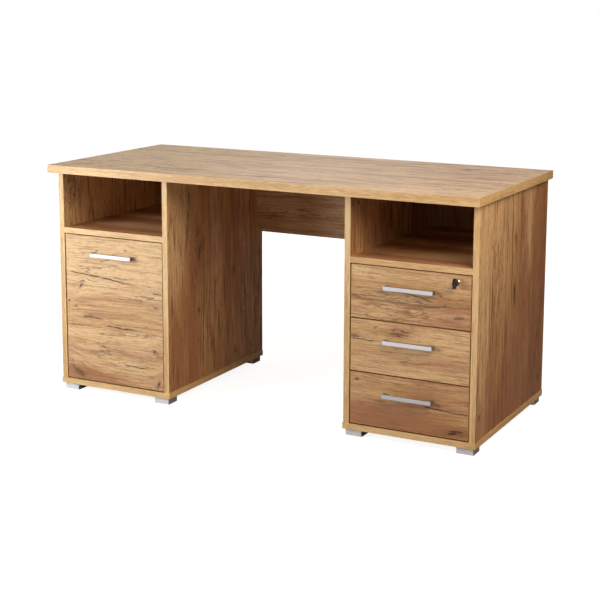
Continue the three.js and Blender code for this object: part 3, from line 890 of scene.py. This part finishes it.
# The handles' and feet's faces that don't face the front or the rear carry painted shade, at about a third of
# their brightness.
SILVER = metal("satin_silver", (0.68, 0.68, 0.71), 0.30, brushed="x", streaks=0.04, metallic=0.6, side_shade=0.36)
FOOT = metal("foot_silver", (0.88, 0.90, 0.95), 0.32, streaks=0.06, metallic=0.1, side_shade=0.30)
CHROME = metal("polished_chrome", (0.82, 0.82, 0.84), 0.14, streaks=0.03)
ZINC = metal("bright_zinc", (0.66, 0.67, 0.69), 0.32, streaks=0.12)
STEEL = metal("dark_steel", (0.16, 0.15, 0.14), 0.42, streaks=0.12)
RUNNER = metal("epoxy_white", (0.78, 0.78, 0.76), 0.40, streaks=0.04, metallic=0.0)
NYLON = moulded("nylon_black", (0.030, 0.030, 0.033), 0.45)

for name in NODES:
    if name.endswith("handle"):
        dress(name, SILVER, 0.6 * MM, 3)
    elif "_foot_" in name:
        dress(name, FOOT, 0.8 * MM, 3)
    elif "runner" in name:
        dress(name, RUNNER, 0.3 * MM)
    elif "drawer_side" in name or name.endswith(("drawer_back", "drawer_bottom")):
        dress(name, foil(f"foil_{name}", float(len(name))), 0.4 * MM)
    elif "bush" in name:
        dress(name, NYLON)
    elif "pivot" in name:
        dress(name, STEEL, 0.2 * MM)
    elif name == "lock_plug":
        dress(name, ZINC, 0.2 * MM)
dress("lock_barrel", CHROME)
dress("lock_key", key_material(), 0.9 * MM, 3)

# ---------------------------------------- small fittings

# What turns a part built along +Z to face another way
AXES = {
    "+x": Matrix(((0, 0, 1), (1, 0, 0), (0, 1, 0))),
    "-x": Matrix(((0, 0, -1), (-1, 0, 0), (0, 1, 0))),
    "+y": Matrix(((1, 0, 0), (0, 0, 1), (0, -1, 0))),
    "+z": Matrix(((1, 0, 0), (0, 1, 0), (0, 0, 1))),
    "-z": Matrix(((1, 0, 0), (0, -1, 0), (0, 0, -1))),
}
STEPS = 32
SMOOTH_ANGLE = math.radians(35)
# How far a cross recess narrows towards its floor, along its arms and across them.
RECESS_TAPER = (0.75, 0.9)


def angles(steps):
    return [2 * math.pi * i / steps for i in range(steps)]


def circle(radius, z, steps):
    return [Vector((radius * math.cos(a), radius * math.sin(a), z)) for a in angles(steps)]


def add_rings(bm, rings):
    """Skins a row of closed rings of points, first ring to last, and returns the rings' vertices."""
    rows = [[bm.verts.new(point) for point in ring] for ring in rings]
    for lower, upper in zip(rows, rows[1:]):
        for i in range(len(lower)):
            j = (i + 1) % len(lower)
            bm.faces.new((lower[i], lower[j], upper[j], upper[i]))
    return rows


def add_turned(bm, profile, steps=STEPS):
    """A solid turned about Z: profile is (radius, height) pairs in millimetres from its foot to its head."""
    rows = add_rings(bm, [circle(radius * MM, z * MM, steps) for radius, z in profile])
    bm.faces.new(list(reversed(rows[0])))
    bm.faces.new(rows[-1])


def add_tube(bm, profile, steps=STEPS, sides=None):
    """A ring turned about Z: the profile closes on itself. Points with a third value make polygons."""
    rings = []
    for radius, z, *flat in profile:
        ring = circle(radius * MM, z * MM, steps)
        if flat:
            part = 2 * math.pi / sides
            for point, angle in zip(ring, angles(steps)):
                off = (angle + part / 2) % part - part / 2
                point.xy = point.xy * (math.cos(part / 2) / math.cos(off))
        rings.append(ring)
    rows = add_rings(bm, rings)
    for i in range(steps):
        j = (i + 1) % steps
        bm.faces.new((rows[-1][i], rows[-1][j], rows[0][j], rows[0][i]))


def add_driven(bm, profile, recess):
    """A turned head with a cross recess in its top face. recess is its reach, half width and depth."""
    rows = add_rings(bm, [circle(radius * MM, z * MM, STEPS) for radius, z in profile])
    bm.faces.new(list(reversed(rows[0])))
    rim, top = rows[-1], profile[-1][1]
    quarter = STEPS // 4
    reach, half, depth = recess
    reach, half, top, low = reach * MM, half * MM, top * MM, (top - depth) * MM
    turns = [(1, 0, 0, 1), (0, -1, 1, 0), (-1, 0, 0, -1), (0, 1, -1, 0)]

    def corner(turn, x, y, z):
        a, b, c, d = turn
        return bm.verts.new((a * x + b * y, c * x + d * y, z))

    mouth, floor = [], []
    for turn in turns:
        for x, y in ((reach, 0), (reach, half), (half, half), (half, reach)):
            mouth.append(corner(turn, x, y, top))
            floor.append(corner(turn, x * RECESS_TAPER[0], y * RECESS_TAPER[1], low))
    count = len(mouth)
    for q in range(4):
        outer = [rim[(q * quarter + i) % STEPS] for i in range(quarter + 1)]
        inner = [mouth[(4 * q + i) % count] for i in range(5)]
        bm.faces.new(outer + list(reversed(inner)))
    for i in range(count):
        j = (i + 1) % count
        bm.faces.new((mouth[i], mouth[j], floor[j], floor[i]))
    bm.faces.new(floor)


def add_block(bm, size, chamfer, turn=0.0):
    """A block with chamfered upright corners and top edges, centred on its foot. turn is about Z."""
    w, d, h = [s * MM for s in size]
    c = chamfer * MM

    def ring(inset, z):
        x, y = w / 2 - inset, d / 2 - inset
        corners = [(x - c, -y), (x, -y + c), (x, y - c), (x - c, y)]
        corners += [(-x + c, y), (-x, y - c), (-x, -y + c), (-x + c, -y)]
        return [Vector((px, py, z)) for px, py in corners]

    rows = add_rings(bm, [ring(0, 0), ring(0, h - c), ring(c, h)])
    bm.faces.new(list(reversed(rows[0])))
    bm.faces.new(rows[-1])
    bmesh.ops.rotate(bm, cent=(0, 0, 0), matrix=Matrix.Rotation(turn, 3, "Z"), verts=bm.verts)


def fitting(name, build, places, material, body):
    """Makes one object of a small part repeated at places: (point in metres, the way that its head faces)."""
    whole = bmesh.new()
    for point, way in places:
        bm = bmesh.new()
        build(bm)
        bmesh.ops.transform(bm, matrix=Matrix.Translation(point) @ AXES[way].to_4x4(), verts=bm.verts)
        part = bpy.data.meshes.new("part")
        bm.to_mesh(part)
        bm.free()
        whole.from_mesh(part)
        bpy.data.meshes.remove(part)
    bmesh.ops.recalc_face_normals(whole, faces=whole.faces)
    mesh = bpy.data.meshes.new(name)
    whole.to_mesh(mesh)
    whole.free()
    mesh.shade_smooth()
    mesh.set_sharp_from_angle(angle=SMOOTH_ANGLE)
    piece = bpy.data.objects.new(name, mesh)
    bpy.context.scene.collection.objects.link(piece)
    mesh.materials.append(material)
    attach(piece, body)


def middle(low, high):
    return (low + high) / 2


# Cam fittings, flush in the 15 mm bores that tie the sides to the top, the shelves to the sides, and the
# modesty panel to the inner sides.
CAM_BELOW_TOP = 28 * MM
CAM_FROM_END = 53 * MM
CAM_INSET = 34 * MM
CAM_PROFILE = [(6.6, -12.2), (7.3, -11.4), (7.3, -1.2), (7.4, -1.2), (7.4, -0.5), (7.0, -0.15)]
cam = partial(add_driven, profile=CAM_PROFILE, recess=(3.1, 0.75, 2.6))


def cam_places():
    in_sides, in_shelves, in_modesty = [], [], []
    for side in ("left", "right"):
        shelf_low, shelf_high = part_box(f"{side}_fixed_shelf")
        side_low, side_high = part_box(f"{side}_outer_side")
        depths = (side_low.y + CAM_FROM_END, side_high.y - CAM_FROM_END)
        for x, way in ((shelf_low.x, "+x"), (shelf_high.x, "-x")):
            in_sides += [(Vector((x, y, side_high.z - CAM_BELOW_TOP)), way) for y in depths]
        depths = (shelf_low.y + CAM_FROM_END, shelf_high.y - CAM_FROM_END)
        for x in (shelf_low.x + CAM_INSET, shelf_high.x - CAM_INSET):
            in_shelves += [(Vector((x, y, shelf_low.z)), "-z") for y in depths]
    low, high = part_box("modesty_panel")
    for x in (low.x + CAM_INSET, high.x - CAM_INSET):
        in_modesty += [(Vector((x, high.y, z)), "+y") for z in (low.z + CAM_INSET, high.z - CAM_INSET)]
    return {"sides": in_sides, "shelves": in_shelves, "modesty": in_modesty}


for where, places in cam_places().items():
    fitting(f"cam_fittings_{where}", cam, places, ZINC, "carcass")

# Shelf pins under the loose shelf, pushed into the middle row of 5 mm bores.
PIN_FROM_FRONT = 80 * MM
PIN_FROM_REAR = 60 * MM
PIN_RADIUS = 2.5 * MM
PIN_PROFILE = [(1.9, -8.6), (2.4, -8.0), (2.4, 0), (3.5, 0), (3.7, 0.25), (3.7, 0.7), (2.4, 0.8)]
PIN_PROFILE += [(2.4, 7.4), (1.9, 8.0)]


def pin_places():
    left_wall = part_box("left_outer_side")[1].x
    low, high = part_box("left_inner_side")
    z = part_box("cupboard_shelf")[0].z - PIN_RADIUS
    places = []
    for y in (low.y + PIN_FROM_FRONT, high.y - PIN_FROM_REAR):
        places += [(Vector((left_wall, y, z)), "+x"), (Vector((low.x, y, z)), "-x")]
    return places


fitting("shelf_pins", partial(add_turned, profile=PIN_PROFILE), pin_places(), ZINC, "carcass")

# Screws: flat heads in the sheet steel, pan heads behind the handles.
FLAT_HEAD = [(1.6, -2.4), (3.2, -0.3), (3.3, 0.0), (3.2, 0.18)]
SMALL_FLAT_HEAD = [(1.2, -1.2), (2.4, -0.2), (2.5, 0.0), (2.4, 0.15)]
PAN_HEAD = [(2.0, -1.0), (2.0, -0.1), (3.9, 0.0), (4.1, 0.5), (3.9, 1.4), (3.2, 2.1), (2.4, 2.4)]
flat_screw = partial(add_driven, profile=FLAT_HEAD, recess=(1.9, 0.42, 1.2))
small_screw = partial(add_driven, profile=SMALL_FLAT_HEAD, recess=(1.5, 0.36, 0.9))
pan_screw = partial(add_driven, profile=PAN_HEAD, recess=(1.7, 0.45, 1.5))
HANDLE_HALF_LEG = 4 * MM


def handle_screws(front, handle):
    low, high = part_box(handle)
    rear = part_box(front)[1].y
    z = middle(low.z, high.z)
    return [(Vector((x, rear, z)), "+y") for x in (low.x + HANDLE_HALF_LEG, high.x - HANDLE_HALF_LEG)]


fitting("door_handle_screws", pan_screw, handle_screws("door", "door_handle"), ZINC, "door")

# The drawer runners' rollers and screws. A cabinet roller stands at the front of each channel, a drawer
# roller at the rear of each rail.
ROLLER_PROFILE = [(2.6, 0.0), (4.6, 0.0), (4.9, 0.5), (5.6, 0.5), (6.1, 0.5), (6.5, 0.9), (6.5, 4.7)]
ROLLER_PROFILE += [(6.1, 5.1), (5.0, 5.1), (4.6, 5.6), (2.6, 5.6), (2.3, 5.3), (2.3, 0.3)]
AXLE_PROFILE = [(2.1, -0.6), (2.1, 5.9), (3.1, 5.9), (3.0, 6.4), (2.3, 6.8)]
roller = partial(add_tube, profile=ROLLER_PROFILE)
axle = partial(add_turned, profile=AXLE_PROFILE, steps=24)
ROLLER_RADIUS = 6.5 * MM
ROLLER_FROM_END = 12 * MM
ROLLER_OFF_SHEET = 0.5 * MM
RUNNER_SHEET = 1.5 * MM
# From a rail's outer edge to its upright sheet, and from its foot to its screws
RAIL_DEPTH = 7 * MM
RAIL_SCREW_RISE = 6 * MM
# The air between a roller and the flange that runs on it or that it runs on
FRONT_AIR, REAR_AIR = 0.2 * MM, 0.1 * MM
# Screws, as parts of the channel's length
CHANNEL_SCREWS = (0.09, 0.47, 0.86)
RAIL_SCREWS = (0.14, 0.52, 0.84)


def runner_places(drawer, side):
    """The front roller, the rear roller, the channel's screws and the rail's screws of one runner."""
    channel_low, channel_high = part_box(f"{drawer}_cabinet_runner_{side}")
    rail_low, rail_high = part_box(f"{drawer}_drawer_runner_{side}")
    if side == "left":
        sign, inward, outward = 1, "+x", "-x"
        web, plate = channel_low.x + RUNNER_SHEET, rail_low.x + RAIL_DEPTH
    else:
        sign, inward, outward = -1, "-x", "+x"
        web, plate = channel_high.x - RUNNER_SHEET, rail_high.x - RAIL_DEPTH
    # The rail's flange rides on the front roller, and the rear roller rides on the channel's lower lip.
    top = rail_high.z - RUNNER_SHEET - ROLLER_RADIUS - FRONT_AIR
    front = Vector((web + sign * ROLLER_OFF_SHEET, channel_low.y + ROLLER_FROM_END, top))
    top = channel_low.z + RUNNER_SHEET + ROLLER_RADIUS + REAR_AIR
    rear = Vector((plate - sign * ROLLER_OFF_SHEET, rail_high.y - ROLLER_FROM_END, top))
    length = channel_high.y - channel_low.y
    z = middle(channel_low.z, channel_high.z)
    in_channel = [(Vector((web, channel_low.y + length * part, z)), inward) for part in CHANNEL_SCREWS]
    z = rail_low.z + RAIL_SCREW_RISE
    in_rail = [(Vector((plate, rail_low.y + length * part, z)), outward) for part in RAIL_SCREWS]
    return (front, inward), (rear, outward), in_channel, in_rail


front_rollers, channel_screws = [], []
for drawer in ("bottom", "middle", "top"):
    rear_rollers, rail_screws = [], []
    for side in ("left", "right"):
        front, rear, in_channel, in_rail = runner_places(drawer, side)
        front_rollers.append(front)
        channel_screws += in_channel
        rear_rollers.append(rear)
        rail_screws += in_rail
    body = f"{drawer}_drawer"
    fitting(f"{drawer}_drawer_rollers", roller, rear_rollers, NYLON, body)
    fitting(f"{drawer}_drawer_roller_axles", axle, rear_rollers, ZINC, body)
    fitting(f"{drawer}_drawer_runner_screws", small_screw, rail_screws, ZINC, body)
    places = handle_screws(f"{drawer}_drawer_front", f"{drawer}_drawer_handle")
    fitting(f"{drawer}_drawer_handle_screws", pan_screw, places, ZINC, body)
fitting("cabinet_rollers", roller, front_rollers, NYLON, "carcass")
fitting("cabinet_roller_axles", axle, front_rollers, ZINC, "carcass")
fitting("cabinet_runner_screws", flat_screw, channel_screws, ZINC, "carcass")

# The screws of the door's pivot plates: the sheet that they go through, and how far they are from its ends.
PIVOT_SHEET = 1.5 * MM
PIVOT_SCREWS = (5 * MM, 7 * MM)


def pivot_screws():
    places = []
    for name, way in (("door_pivot_lower", "+z"), ("door_pivot_upper", "-z")):
        low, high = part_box(name)
        face = low.z + PIVOT_SHEET if way == "+z" else high.z - PIVOT_SHEET
        for x in (low.x + PIVOT_SCREWS[0], high.x - PIVOT_SCREWS[1]):
            places.append((Vector((x, middle(low.y, high.y), face)), way))
    return places


fitting("door_pivot_screws", small_screw, pivot_screws(), ZINC, "carcass")

# The door's magnetic catch on the inner side, and its strike plate on the door: length, width and height in
# millimetres, and chamfer.
CATCH, CATCH_CHAMFER = (44, 14, 13), 1.2
STRIKE, STRIKE_CHAMFER = (38, 12, 0.9), 0.35
CATCH_BELOW_DOOR_TOP = 70 * MM
CATCH_GAP = 0.6
STRIKE_OFFSET = 2
catch = partial(add_block, size=CATCH, chamfer=CATCH_CHAMFER)
strike = partial(add_block, size=STRIKE, chamfer=STRIKE_CHAMFER, turn=math.pi / 2)
door_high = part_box("door")[1]
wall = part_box("left_fixed_shelf")[1].x
catch_y = door_high.y + (STRIKE[2] + CATCH_GAP + CATCH[1] / 2) * MM
catch_z = door_high.z - CATCH_BELOW_DOOR_TOP
strike_x = wall - (CATCH[2] / 2 + STRIKE_OFFSET) * MM
fitting("door_catch", catch, [(Vector((wall, catch_y, catch_z)), "-x")], NYLON, "carcass")
strike_place = Vector((strike_x, door_high.y, catch_z))
fitting("door_strike_plate", strike, [(strike_place, "+y")], ZINC, "door")

# The nut that holds the lock's barrel behind the drawer front: six flats round a turned hole.
NUT_PROFILE = [(8.1, 0.0), (11.0, 0.0, 1), (11.4, 0.3, 1), (11.4, 1.7, 1), (11.0, 2.0, 1), (8.1, 2.0)]
nut = partial(add_tube, profile=NUT_PROFILE, steps=48, sides=6)
lock_axis = middle(*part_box("lock_barrel"))
nut_place = Vector((lock_axis.x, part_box("top_drawer_front")[1].y, lock_axis.z))
fitting("lock_nut", nut, [(nut_place, "+y")], ZINC, "top_drawer")
